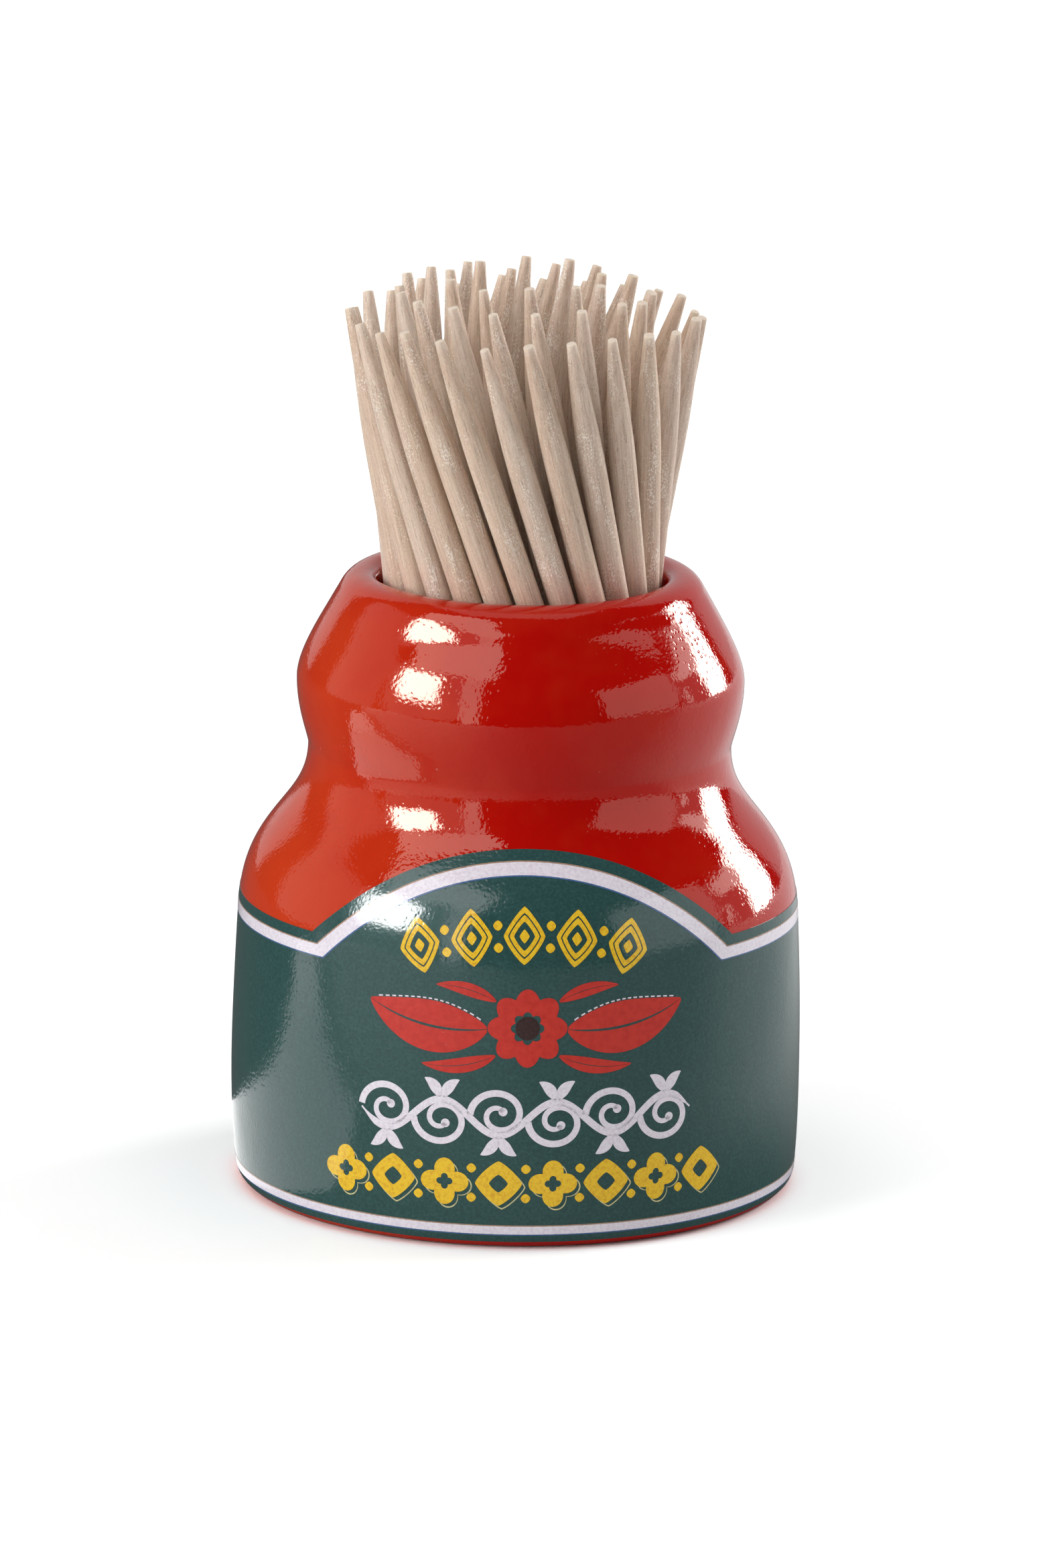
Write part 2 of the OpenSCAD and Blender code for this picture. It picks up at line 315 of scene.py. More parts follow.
# The printed label: heights and widths in mm. Its rows lie close together up to footShare of its height,
# where the foot is rounded. Each layer of ink lies at its lift above the glaze and reaches down to sunk.
label = {
    "turn": 1.5, "low": 0.65, "sideRise": 1.5, "archRise": 7.3, "archR": 20.7,
    "lineMargin": 0.85, "lineW": 0.85, "baseMargin": 0.65, "baseLineW": 0.62, "hairW": 0.09,
    "inkLift": 0.03, "hairLift": 0.04, "lineLift": 0.045, "ornamentLift": 0.055, "sunk": -0.02,
    "columns": 720, "footShare": 0.04, "footRows": 12, "sideShare": 0.06, "sideRows": 36, "bandRows": 4,
    "cornerAngles": (0.3, 1.4), "cornerSteps": 4001, "edgeRounds": 30, "sharp": 40,
}
sideTop = shoulderZ + label["sideRise"]
archTop = sideTop + label["archRise"]
archMiddle = archTop - label["archR"]
outsideSlope = np.gradient(outside[:, 0], outside[:, 1])


# The point of the jar's side at a height and at an angle from the label's middle, lifted along its normal,
# which is (1, -slope of the radius) made one long
def onGlaze(angle, height, lift):
    radius = np.interp(height, outside[:, 1], outside[:, 0])
    lean = np.interp(height, outside[:, 1], outsideSlope)
    size = np.sqrt(1 + lean ** 2)
    return turned(radius, height, 1 / size, -lean / size, angle + math.radians(label["turn"]), lift)


# Height of the label's edge, drawn in by inset: the higher of the level side and of a circle that stands
# upright in front of the jar, with x = radius * sin(angle) found again at each height
def labelEdge(angle, inset):
    level = np.full(angle.shape, sideTop - inset)
    height = np.full(angle.shape, archTop - inset)
    for _ in range(label["edgeRounds"]):
        x = np.interp(height, outside[:, 1], outside[:, 0]) * np.sin(angle)
        under = (label["archR"] - inset) ** 2 - x ** 2
        height = 0.5 * height + 0.5 * (archMiddle + np.sqrt(np.clip(under, 0, None)))
    inFront = (np.cos(angle) > 0) & (under > 0)
    return np.where(inFront, np.maximum(level, height), level)


# Angles round the label, with a column moved to each corner where the arch meets the level side
def labelAngles(inset):
    angle = np.linspace(-math.pi, math.pi, label["columns"], endpoint=False)
    fine = np.linspace(*label["cornerAngles"], label["cornerSteps"])
    corner = fine[np.argmax(labelEdge(fine, inset) <= sideTop - inset)]
    for side in (-corner, corner):
        angle[np.argmin(abs(angle - side))] = side
    return angle


# A thin printed layer: an outer and an inner sheet over one grid of angles and heights, and a wall all round
def printedLayer(angle, height, lift, around=False):
    rows, columns = angle.shape
    count = rows * columns
    sheet = gridFaces(rows, columns, around)
    index = np.arange(count).reshape(rows, columns)
    borders = [index[0], index[-1][::-1]] + ([] if around else [index[::-1, 0], index[:, -1]])
    parts = [sheet, sheet[:, ::-1] + count]
    for line in borders:
        ahead = np.roll(line, -1) if around else line[1:]
        behind = line if around else line[:-1]
        parts.append(np.stack([behind, behind + count, ahead + count, ahead], -1))
    points = np.concatenate([onGlaze(angle, height, lift).reshape(-1, 3),
                             onGlaze(angle, height, label["sunk"]).reshape(-1, 3)])
    return points, np.vstack(parts)


# Several layers as one piece of the label
def makePrint(name, layers, ink, replaced=()):
    points, faces, start = [], [], 0
    for p, f in layers:
        points.append(p)
        faces.append(f + start)
        start += len(p)
    makePiece(name, "jar", np.vstack(points), np.vstack(faces), [decals[ink]], replaced,
              sharp=label["sharp"])


# A band that follows the label's upper edge, from inset to inset + width below it
def edgeBand(inset, width, lift):
    angle = labelAngles(inset)
    top, bottom = labelEdge(angle, inset), labelEdge(angle, inset + width)
    height = bottom + np.linspace(0, 1, label["bandRows"])[:, None] * (top - bottom)[None, :]
    return printedLayer(np.broadcast_to(angle[None, :], height.shape), height, lift, True)


# A level band round the jar, from a height upwards
def baseBand(bottom, width, lift):
    angle = np.tile(labelAngles(0), (label["bandRows"], 1))
    height = bottom + np.linspace(0, 1, label["bandRows"])[:, None] * width
    return printedLayer(angle, np.broadcast_to(height, angle.shape), lift, True)


# The coloured field and its pale lines. Where the inks were printed out of line, a tan hair shows above each
# pale line and a blue one below it.
def makeLabel():
    angle = labelAngles(0)
    share = np.concatenate([np.linspace(0, label["footShare"], label["footRows"]),
                            np.linspace(label["sideShare"], 1, label["sideRows"])])[:, None]
    height = label["low"] + share * (labelEdge(angle, 0)[None, :] - label["low"])
    field = printedLayer(np.broadcast_to(angle[None, :], height.shape), height, label["inkLift"], True)
    makePrint("printed_field", [field], "green_decal", ["label_field"])
    margin, hair, base = label["lineMargin"], label["hairW"], label["low"] + label["baseMargin"]
    lines = [edgeBand(margin, label["lineW"], label["lineLift"]),
             baseBand(base, label["baseLineW"], label["lineLift"])]
    above = [edgeBand(margin - hair, hair, label["hairLift"]),
             baseBand(base + label["baseLineW"], hair, label["hairLift"])]
    below = [edgeBand(margin + label["lineW"], hair, label["hairLift"]),
             baseBand(base - hair, hair, label["hairLift"])]
    makePrint("printed_lines", lines, "white_decal", ["label_lines"])
    makePrint("line_upper_fringe", above, "tan_decal")
    makePrint("line_lower_fringe", below, "blue_decal")


# Ornaments of the label. Places are mm along the label from its middle, and mm above the table.

# Points of the mesh along and across each kind of inked shape
inkSteps = {"around": 64, "rings": 5, "leaf": 40, "stem": 260, "curl": 70, "dash": 4}


# A shape round a point, in rings from a share of its outline (hole) to the whole of it. The outline is the
# superellipse |x / a| ^ p + |z / b| ^ p = 1: p = 1 is a lozenge and p = 2 an ellipse. With petals (count,
# depth) its radius is also drawn in by depth between them, as the absolute cosine of half of count times the
# angle.
def blot(x, z, a, b, power=2.0, hole=0.0, turn=0.0, petals=(0, 0.0), lift=label["ornamentLift"]):
    way = np.linspace(0, 2 * math.pi, inkSteps["around"], endpoint=False)[None, :]
    reach = (abs(np.cos(way) / a) ** power + abs(np.sin(way) / b) ** power) ** (-1 / power)
    reach = reach * (1 - petals[1] * (1 - abs(np.cos(petals[0] * way / 2))))
    share = np.linspace(hole, 1, inkSteps["rings"])[:, None]
    px, pz = reach * share * np.cos(way), reach * share * np.sin(way)
    c, d = math.cos(turn), math.sin(turn)
    return printedLayer((x + c * px - d * pz) / footR, z + d * px + c * pz, lift, True)


# A line of ink along a path: the path's points moved along its normal by shares of the half width there
def stroke(px, pz, halfWidth, low=-1.0, high=1.0):
    nx, nz = pathNormal(px, pz)
    share = np.linspace(low, high, inkSteps["rings"])[:, None]
    x, z = px + share * halfWidth * nx, pz + share * halfWidth * nz
    return printedLayer(x / footR, z, label["ornamentLift"])


# The normal of a path: its direction turned by a quarter
def pathNormal(px, pz):
    dx, dz = np.gradient(px), np.gradient(pz)
    size = np.hypot(dx, dz)
    return -dz / size, dx / size


# A leaf's middle line and half widths: a straight line bent by a parabola, as wide as the sine of its share,
# widest nearer its tip and blunted by a power below 1
def leaf(x0, z0, x1, z1, bend, halfWidth):
    t = np.linspace(0.01, 0.99, inkSteps["leaf"])
    length = math.hypot(x1 - x0, z1 - z0)
    aside = bend * 4 * t * (1 - t)
    px = x0 + (x1 - x0) * t - (z1 - z0) / length * aside
    pz = z0 + (z1 - z0) * t + (x1 - x0) / length * aside
    return px, pz, halfWidth * np.sin(math.pi * t ** 0.85) ** 0.8


# Each lozenge of the arc is nested outlines, from one share of its size in to another
arc = {
    "count": 5, "step": 4.05, "z": 24.25, "bend": 32.0, "halfW": 1.6, "halfH": 2.1, "power": 1.2,
    "outlines": ((1.0, 0.79), (0.72, 0.5), (0.24, 0.0)), "beadR": 0.36, "beadRise": 0.8, "beadPower": 1.6,
}


# Lozenges on a shallow circle under the arch, with pairs of beads between them
def makeArc():
    layers = []
    for k in range(2 * arc["count"] - 1):
        x = (k - arc["count"] + 1) * arc["step"] / 2
        z = arc["z"] - arc["bend"] + math.sqrt(arc["bend"] ** 2 - x ** 2)
        turn = -math.asin(x / arc["bend"])
        if k % 2 == 0:
            for outer, inner in arc["outlines"]:
                halfW, halfH = arc["halfW"] * outer, arc["halfH"] * outer
                layers.append(blot(x, z, halfW, halfH, arc["power"], inner / outer, turn))
        else:
            for rise in (-arc["beadRise"], arc["beadRise"]):
                beadX, beadZ = x - rise * math.sin(turn), z + rise
                layers.append(blot(beadX, beadZ, arc["beadR"], arc["beadR"], arc["beadPower"], 0.0, turn))
    makePrint("label_arc", layers, "yellow_decal")


# Each leaf of the spray is (root x, root z, tip x, tip z, bend, half width) from the rosette's middle, on
# the right side. A vein parts it, and pale dashes follow the upper edge of the first one.
spray = {
    "x": 0.3, "z": 17.3, "rosetteR": 3.0, "rosetteHole": 0.42, "petals": (8, 0.22), "heartR": 0.9,
    "vein": 0.05,
    "leaves": ((2.94, -0.1, 12.34, 1.5, -0.75, 1.95), (2.34, 2.0, 7.0, 3.1, 0.35, 0.5),
               (2.34, -2.1, 8.0, -3.0, -0.45, 0.58)),
    "dash": 0.3, "dashGap": 0.22, "dashHalfW": 0.05, "dashOut": 0.12, "dashMargin": 0.4,
}


# Dashes beside a path, each along a stretch of its length
def sprayDashes(px, pz, reach):
    nx, nz = pathNormal(px, pz)
    length = np.concatenate([[0], np.cumsum(np.hypot(np.diff(px), np.diff(pz)))])
    dashes, margin = [], spray["dashMargin"]
    for start in np.arange(margin, length[-1] - margin, spray["dash"] + spray["dashGap"]):
        part = np.linspace(start, start + spray["dash"], inkSteps["dash"])
        ex, ez = np.interp(part, length, px + reach * nx), np.interp(part, length, pz + reach * nz)
        dashes.append(stroke(ex, ez, spray["dashHalfW"]))
    return dashes


# A rosette between two long leaves and four short ones
def makeSpray():
    x, z, r = spray["x"], spray["z"], spray["rosetteR"]
    red = [blot(x, z, r, r, 2.0, spray["rosetteHole"], 0.0, spray["petals"])]
    pale = []
    for side in (-1, 1):
        for k, (x0, z0, x1, z1, bend, width) in enumerate(spray["leaves"]):
            px, pz, half = leaf(x + side * x0, z + z0, x + side * x1, z + z1, side * bend, width)
            red.append(stroke(px, pz, half, spray["vein"], 1.0))
            red.append(stroke(px, pz, half, -1.0, -spray["vein"]))
            if k == 0:
                pale += sprayDashes(px, pz, side * (half + spray["dashOut"]))
    makePrint("label_spray", red, "red_decal")
    makePrint("label_spray_dashes", pale, "white_decal")
    heart = blot(x, z, spray["heartR"], spray["heartR"])
    makePrint("label_spray_heart", [heart], "brown_decal")


scroll = {
    "x": 0.4, "z": 10.35, "wave": 8.6, "swing": 1.3, "length": 25.8, "lineHalfW": 0.27,
    "taper": 1.2, "endShare": 0.25, "curls": 6, "halfTurns": 2.75, "curlIn": 0.8, "curlFlat": 0.92,
    "curlDrop": 0.25, "curlThin": 0.35, "budR": 0.33, "leafRootX": 0.15, "leafRootZ": 0.1,
    "leafTipX": 1.35, "leafRise": 1.45, "leafBend": 0.25, "leafHalfW": 0.42,
}


# A running vine: a sine wave for the stem, and in each half wave a spiral whose radius falls evenly as it
# turns, with a bud at its end and two leaves on its back
def makeScroll():
    x, z, wave = scroll["x"], scroll["z"], scroll["wave"]
    half = scroll["length"] / 2
    u = np.linspace(-half, half, inkSteps["stem"])
    stemW = scroll["lineHalfW"] * np.clip((half - abs(u)) / scroll["taper"], scroll["endShare"], 1)
    layers = [stroke(x + u, z + scroll["swing"] * np.sin(2 * math.pi * u / wave), stemW)]
    t = np.linspace(0, 1, inkSteps["curl"])
    turn = math.pi * (1 + scroll["halfTurns"] * t)
    r = wave / 4 * (1 - scroll["curlIn"] * t)
    for middle in (np.arange(scroll["curls"]) - (scroll["curls"] - 1) / 2) * wave / 2:
        side = math.sin(2 * math.pi * middle / wave)
        px = x + middle + r * np.cos(turn)
        pz = z + side * (scroll["curlFlat"] * r * np.sin(turn) - scroll["curlDrop"])
        layers.append(stroke(px, pz, scroll["lineHalfW"] * (1 - scroll["curlThin"] * t)))
        layers.append(blot(px[-1], pz[-1], scroll["budR"], scroll["budR"]))
        root = z + side * (scroll["swing"] + scroll["leafRootZ"])
        for lean in (-1, 1):
            ends = [x + middle + lean * reach for reach in (scroll["leafRootX"], scroll["leafTipX"])]
            layers.append(stroke(*leaf(ends[0], root, ends[1], root + side * scroll["leafRise"],
                                       scroll["leafBend"] * lean * side, scroll["leafHalfW"])))
    makePrint("label_scroll", layers, "white_decal")


# The two figures of the border are given by half size, power, petals and hole
border = {
    "x": 0.3, "z": 5.3, "count": 8, "step": 4.05, "beadR": 0.36, "beadRise": 1.15, "beadPower": 1.6,
    "flower": (1.82, 2.0, (4, 0.4), 0.34), "lozenge": (1.75, 1.25, (0, 0.0), 0.4),
    "shadeX": 0.26, "shadeZ": -0.28, "shadeHalfW": 0.05,
}


# A bold border of flowers and lozenges in turn, with beads between them and a thin pale line beside each
def makeBorder():
    bold, shade = [], []
    for k in range(border["count"]):
        x = border["x"] + (k - (border["count"] - 1) / 2) * border["step"]
        z = border["z"]
        half, power, petals, hole = border["lozenge"] if k % 2 else border["flower"]
        bold.append(blot(x, z, half, half, power, hole, 0.0, petals))
        thin = 1 - 2 * border["shadeHalfW"] / half
        shade.append(blot(x + border["shadeX"], z + border["shadeZ"], half, half, power, thin, 0.0, petals,
                          label["lineLift"]))
        if k < border["count"] - 1:
            for rise in (-border["beadRise"], border["beadRise"]):
                bead = border["beadR"]
                bold.append(blot(x + border["step"] / 2, z + rise, bead, bead, border["beadPower"]))
    makePrint("label_border", bold, "yellow_decal")
    makePrint("label_border_shade", shade, "pale_yellow_decal")


# Toothpicks: sizes in mm, and shares of the radius for oval and flute
pick = {
    "tipR": 0.375, "tipVary": 0.1, "pickR": 1.025, "taper": 11.3, "endRound": 0.06, "endGap": 0.0015,
    "endPoints": (0.0, 0.002, 0.015, 0.035, 0.06), "taperStart": 0.2, "taperSteps": 18, "middleSteps": 12,
    "around": 20,
    "bow": 0.05, "leastBow": 0.2, "oval": 0.02, "flute": 0.012, "flutes": 5, "fluteTwist": 0.05,
    "paleTip": 0.8, "grainFrom": 20, "grainTo": 400, "seed": 4,
}


# A toothpick's own line, measured on its CAD node: its foot in the middle of its extent across the joint's
# axis, its length, and the directions along it and across it
def pickLine(node, axis):
    mesh = frame["nodes"][node].data
    points = np.empty(len(mesh.vertices) * 3)
    mesh.vertices.foreach_get("co", points)
    points = points.reshape(-1, 3) / mm
    axis = np.array(axis) / np.linalg.norm(axis)
    side = np.cross(axis, [0, 0, 1])
    side /= np.linalg.norm(side)
    other = np.cross(axis, side)
    spans = [points @ way for way in (side, other, axis)]
    middle = side * (spans[0].max() + spans[0].min()) / 2 + other * (spans[1].max() + spans[1].min()) / 2
    return middle + axis * spans[2].min(), spans[2].max() - spans[2].min(), axis, side, other


# A toothpick: radius = tip radius + rest * sine of the share of the taper, a quarter ellipse at each blunt
# end, slightly oval and fluted round its axis, and bowed by half a sine along its length
def makePick(node, axis, rng, material):
    foot, length, axis, side, other = pickLine(node, axis)
    half = np.concatenate([pick["endPoints"],
                           np.linspace(pick["taperStart"], pick["taper"], pick["taperSteps"]),
                           np.linspace(pick["taper"], length / 2, pick["middleSteps"])[1:]])
    along = np.concatenate([half, length - half[-2::-1]])
    end = np.minimum(along, length - along)
    tipR = pick["tipR"] * rng.uniform(1 - pick["tipVary"], 1 + pick["tipVary"])
    radius = tipR + (pick["pickR"] - tipR) * np.sin(math.pi / 2 * np.clip(end / pick["taper"], 0, 1))
    blunt = np.clip(1 - end / pick["endRound"], 0, 1)
    radius = radius - pick["endRound"] * (1 - np.sqrt(1 - blunt ** 2))
    radius[[0, -1]] = 0
    along[[0, -1]] = [pick["endGap"], length - pick["endGap"]]
    turn = np.linspace(0, 2 * math.pi, pick["around"], endpoint=False)[None, :]
    phase = rng.uniform(0, 2 * math.pi, 4)
    oval = pick["oval"] * (0.5 + 0.5 * np.cos(2 * turn + phase[0]))
    flute = np.cos(pick["flutes"] * turn + phase[1] + along[:, None] * pick["fluteTwist"])
    r = radius[:, None] * (1 - oval - pick["flute"] * (0.5 + 0.5 * flute))
    bow = pick["bow"] * rng.uniform(pick["leastBow"], 1) * np.sin(math.pi * along / length)[:, None]
    x = r * np.cos(turn) + bow * math.cos(phase[2])
    y = r * np.sin(turn) + bow * math.sin(phase[2])
    points = foot + along[:, None, None] * axis + x[..., None] * side + y[..., None] * other
    own = rng.uniform(pick["grainFrom"], pick["grainTo"], 2)     # its own place in the wood
    grain = np.stack([x + own[0], y + own[1], np.broadcast_to(along[:, None], x.shape)], -1)
    tip = np.broadcast_to(np.clip(1 - end / pick["paleTip"], 0, 1)[:, None], x.shape)
    tone = np.full(x.size, rng.uniform(0, 1))
    attributes = {"grain": grain.reshape(-1, 3), "tip": tip.reshape(-1), "tone": tone}
    faces = gridFaces(len(along), pick["around"], True)
    makePiece(node + "_wood", node, points.reshape(-1, 3), faces, [material], [node], attributes)


# Materials

# Sizes, gaps and depths in mm, and the inner and outer edge of a pit as shares of the gap
glazeSkin = {
    "ior": 1.5, "peelSize": 0.3, "peelDepth": 0.011, "swellSize": 2.4, "swellDepth": 0.03,
    "pitGap": 0.5, "pitDepth": 0.005, "pitIn": 0.08, "pitOut": 0.35,
    "bubbledPlace": (13.0, -8.5, 44.5), "bubbledReach": 4.0, "bubbledCore": 0.8, "bubbledDeeper": 6.0,
}


# The clear fired glaze over colour and print. Orange peel and small pits break up the edges of what it
# reflects, more so in one bubbled spot of the neck, and a slower swell bends them.
def glazeOver(tree, place, base, roughness, tint="#ffffff"):
    g = glazeSkin
    peel = addNode(tree, "ShaderNodeTexNoise", Vector=place, Scale=1 / (g["peelSize"] * mm), Detail=1.0)
    swell = addNode(tree, "ShaderNodeTexNoise", Vector=place, Scale=1 / (g["swellSize"] * mm), Detail=1.0)
    cells = addNode(tree, "ShaderNodeTexVoronoi", Vector=place, Scale=1 / (g["pitGap"] * mm))
    pits = addNode(tree, "ShaderNodeMapRange", smooth, i0=cells.outputs["Distance"], i1=g["pitIn"],
                   i2=g["pitOut"])
    away = addNode(tree, "ShaderNodeVectorMath", {"operation": "DISTANCE"}, i0=place,
                   i1=[v * mm for v in g["bubbledPlace"]])
    deeper = addNode(tree, "ShaderNodeMapRange", smooth, i0=away.outputs["Value"], i1=g["bubbledReach"] * mm,
                     i2=g["bubbledCore"] * mm, i3=1.0, i4=g["bubbledDeeper"])
    pitted = addNode(tree, "ShaderNodeMath", {"operation": "MULTIPLY"}, i0=pits.outputs[0],
                     i1=deeper.outputs[0])
    below = {}
    for height, depth in ((peel, g["peelDepth"]), (pitted, g["pitDepth"]), (swell, g["swellDepth"])):
        bump = addNode(tree, "ShaderNodeBump", Strength=1.0, Distance=depth * mm, Height=height.outputs[0],
                       **below)
        below = {"Normal": bump.outputs["Normal"]}
    surface = addNode(tree, "ShaderNodeBsdfPrincipled", Base_Color=base, Roughness=roughness, IOR=g["ior"],
                      Specular_Tint=colour(tint), **below)
    addNode(tree, "ShaderNodeOutputMaterial", Surface=surface.outputs[0])


# The glaze is deep red, and thinner and more orange in clouds. Towards the left, where more light falls, it is
# painted more orange as painted light, from none at one x to all at another, in mm.
# Clouds and gaps between specks are in mm, the inner and outer edge of a speck are shares of the gap, and
# speckShare is how many of the possible specks are there.
redGlazeLook = {
    "deep": "#b40903", "thin": "#c63a18", "paintedLightStartX": 2.0, "paintedLightFullX": -20.0, "cloudSize": 4.0, "cloudLow": 0.3,
    "cloudHigh": 0.7, "cloudDepth": 0.13, "speck": "#e0897a", "speckGap": 1.5, "speckIn": 0.04,
    "speckOut": 0.08, "speckDepth": 0.4, "speckShare": 0.16, "roughness": 0.05, "tint": "#fff6e3",
}


# Red glaze: opaque and deep red, thinner and more orange in clouds, and painted more orange towards the left as
# painted light where more light falls, with a few pale pinpricks, and glossy enough to mirror the room sharply
def redGlaze():
    g = redGlazeLook
    material, tree = newMaterial("red_glaze")
    place = addNode(tree, "ShaderNodeTexCoord").outputs["Object"]
    parts = addNode(tree, "ShaderNodeSeparateXYZ", Vector=place)
    # painted light: the glaze turns to the thin, orange colour towards the left, where more light falls
    side = addNode(tree, "ShaderNodeMapRange", smooth, i0=parts.outputs[0], i1=g["paintedLightStartX"] * mm,
                   i2=g["paintedLightFullX"] * mm)
    cloud = addNode(tree, "ShaderNodeTexNoise", Vector=place, Scale=1 / (g["cloudSize"] * mm), Detail=2.0)
    cloudy = addNode(tree, "ShaderNodeMapRange", i0=cloud.outputs["Fac"], i1=g["cloudLow"],
                     i2=g["cloudHigh"], i3=-g["cloudDepth"], i4=g["cloudDepth"])
    share = addNode(tree, "ShaderNodeMath", {"operation": "ADD", "use_clamp": True}, i0=side.outputs[0],
                    i1=cloudy.outputs[0])
    body = addNode(tree, "ShaderNodeMix", colourMix, i0=share.outputs[0], i6=colour(g["deep"]),
                   i7=colour(g["thin"]))
    specks = addNode(tree, "ShaderNodeTexVoronoi", Vector=place, Scale=1 / (g["speckGap"] * mm))
    dot = addNode(tree, "ShaderNodeMapRange", i0=specks.outputs["Distance"], i1=g["speckIn"],
                  i2=g["speckOut"], i3=g["speckDepth"], i4=0.0)
    chance = addNode(tree, "ShaderNodeSeparateColor", Color=specks.outputs["Color"])
    few = addNode(tree, "ShaderNodeMath", {"operation": "GREATER_THAN"}, i0=chance.outputs[0],
                  i1=1 - g["speckShare"])
    amount = addNode(tree, "ShaderNodeMath", {"operation": "MULTIPLY"}, i0=dot.outputs[0], i1=few.outputs[0])
    mix = addNode(tree, "ShaderNodeMix", colourMix, i0=amount.outputs[0], i6=body.outputs[2],
                  i7=colour(g["speck"]))
    glazeOver(tree, place, mix.outputs[2], g["roughness"], g["tint"])
    return material


# Bare fired clay of the foot ring: dry, chalky and slightly sandy
def bareClay():
    material, tree = newMaterial("bare_clay")
    place = addNode(tree, "ShaderNodeTexCoord").outputs["Object"]
    base = noiseMix(tree, place, 0.6, "#e6ddce", "#cfc2af", 0.4, 0.65, 4.0)
    grit = addNode(tree, "ShaderNodeTexNoise", Vector=place, Scale=1 / (0.2 * mm), Detail=2.0)
    bump = addNode(tree, "ShaderNodeBump", Strength=0.6, Distance=0.02 * mm, Height=grit.outputs["Fac"])
    surface = addNode(tree, "ShaderNodeBsdfPrincipled", Base_Color=base, Roughness=0.85,
                      Normal=bump.outputs["Normal"])
    addNode(tree, "ShaderNodeOutputMaterial", Surface=surface.outputs[0])
    return material


# Each ink has two tones, the size in mm of the print's grain, and the levels of the grain between which the
# tones change
inks = {
    "green_decal": ("#2a4a48", "#335653", 0.22, 0.4, 0.7),
    "white_decal": ("#ece6ee", "#dcd2df", 0.22, 0.4, 0.7),
    "yellow_decal": ("#f0c531", "#dba427", 0.25, 0.45, 0.75),
    "pale_yellow_decal": ("#d9cf9a", "#b9b183", 0.22, 0.4, 0.7),
    "red_decal": ("#cb3529", "#bc2a22", 0.5, 0.35, 0.75),
    "brown_decal": ("#33201f", "#402a28", 0.22, 0.4, 0.7),
    "tan_decal": ("#b09078", "#8f7566", 0.22, 0.4, 0.7),
    "blue_decal": ("#4f6fa0", "#3d5a86", 0.22, 0.4, 0.7),
}
inkRoughness = 0.13


# Decal ink fired into the glaze: even, with the fine grain of the print. It lies a little softer than the
# bare glaze, so that what it reflects is blurred.
def printInk(name, main, second, grainSize, low, high):
    material, tree = newMaterial(name)
    place = addNode(tree, "ShaderNodeTexCoord").outputs["Object"]
    glazeOver(tree, place, noiseMix(tree, place, grainSize, main, second, low, high), inkRoughness)
    return material


# Noise that is stretched along the stick: the size of its marks across and along the grain in mm, and detail
birchMarks = {
    "band": (1.6, 30.0, 1.0), "fibre": (0.13, 5.0, 3.0), "vessel": (0.08, 1.1, 1.0),
    "speckle": (0.1, 0.16, 1.0), "patch": (1.3, 4.0, 1.0),
}
# Colours laid over the pale wood, each where a value goes from one level to another, up to a share
birchLayers = [
    ("tone", 0.0, 1.0, 1.0, "#d6bfa9"), ("band", 0.4, 0.65, 0.6, "#ccb39f"),
    ("fibre", 0.5, 0.72, 0.5, "#9c8572"), ("fibre", 0.46, 0.3, 0.5, "#e8ddd0"),
    ("vessel", 0.64, 0.74, 0.55, "#86684f"),
    ("speckle", 0.58, 0.72, 0.35, "#eee4d6"), ("speckle", 0.42, 0.28, 0.3, "#a18468"),
    ("nap", 1.12, 1.22, 0.75, "#f4ede2"), ("tip", 0.0, 1.0, 0.6, "#ecdfcf"),
]
birchLook = {
    "pale": "#dac9ba", "patchWeight": 0.9, "speckleWeight": 0.5, "relief": 0.9, "reliefDepth": 0.03,
    "roughness": 0.6, "sink": 0.25, "sinkRadius": (1.0, 0.42, 0.18), "sinkDepth": 0.9,
}


# Turned birch: pale, dry and matt. Each stick has its own tone. Thin dark and pale fibres run along it, a
# fine nap of torn fibres catches the light in clusters, light sinks in a little and comes out warmer, and the
# cut ends are pale.
def birchWood():
    b = birchLook
    material, tree = newMaterial("turned_birch")
    values = {name: addNode(tree, "ShaderNodeAttribute", {"attribute_name": name}).outputs["Fac"]
              for name in ("tip", "tone")}
    grain = addNode(tree, "ShaderNodeAttribute", {"attribute_name": "grain"}).outputs["Vector"]
    for name, (across, length, detail) in birchMarks.items():
        place = addNode(tree, "ShaderNodeMapping", Vector=grain, Scale=(1 / across, 1 / across, 1 / length))
        values[name] = addNode(tree, "ShaderNodeTexNoise", Vector=place.outputs[0], Scale=1.0, Detail=detail,
                               Roughness=0.6).outputs["Fac"]
    values["nap"] = addNode(tree, "ShaderNodeMath", {"operation": "MULTIPLY_ADD"}, i0=values["patch"],
                            i1=b["patchWeight"], i2=values["speckle"]).outputs[0]
    base = colour(b["pale"])
    for name, low, high, share, top in birchLayers:
        amount = addNode(tree, "ShaderNodeMapRange", i0=values[name], i1=low, i2=high, i4=share)
        mix = addNode(tree, "ShaderNodeMix", colourMix, i0=amount.outputs[0], i6=base, i7=colour(top))
        base = mix.outputs[2]
    relief = addNode(tree, "ShaderNodeMath", {"operation": "MULTIPLY_ADD"}, i0=values["speckle"],
                     i1=b["speckleWeight"], i2=values["fibre"])
    bump = addNode(tree, "ShaderNodeBump", Strength=b["relief"], Distance=b["reliefDepth"] * mm,
                   Height=relief.outputs[0])
    surface = addNode(tree, "ShaderNodeBsdfPrincipled", Base_Color=base, Roughness=b["roughness"],
                      Subsurface_Weight=b["sink"], Subsurface_Radius=b["sinkRadius"],
                      Subsurface_Scale=b["sinkDepth"] * mm, Normal=bump.outputs["Normal"])
    addNode(tree, "ShaderNodeOutputMaterial", Surface=surface.outputs[0])
    return material


# Building the pieces

decals = {name: printInk(name, *tones) for name, tones in inks.items()}
makeJar()
makeLabel()
makeArc()
makeSpray()
makeScroll()
makeBorder()
print("jar and label made")

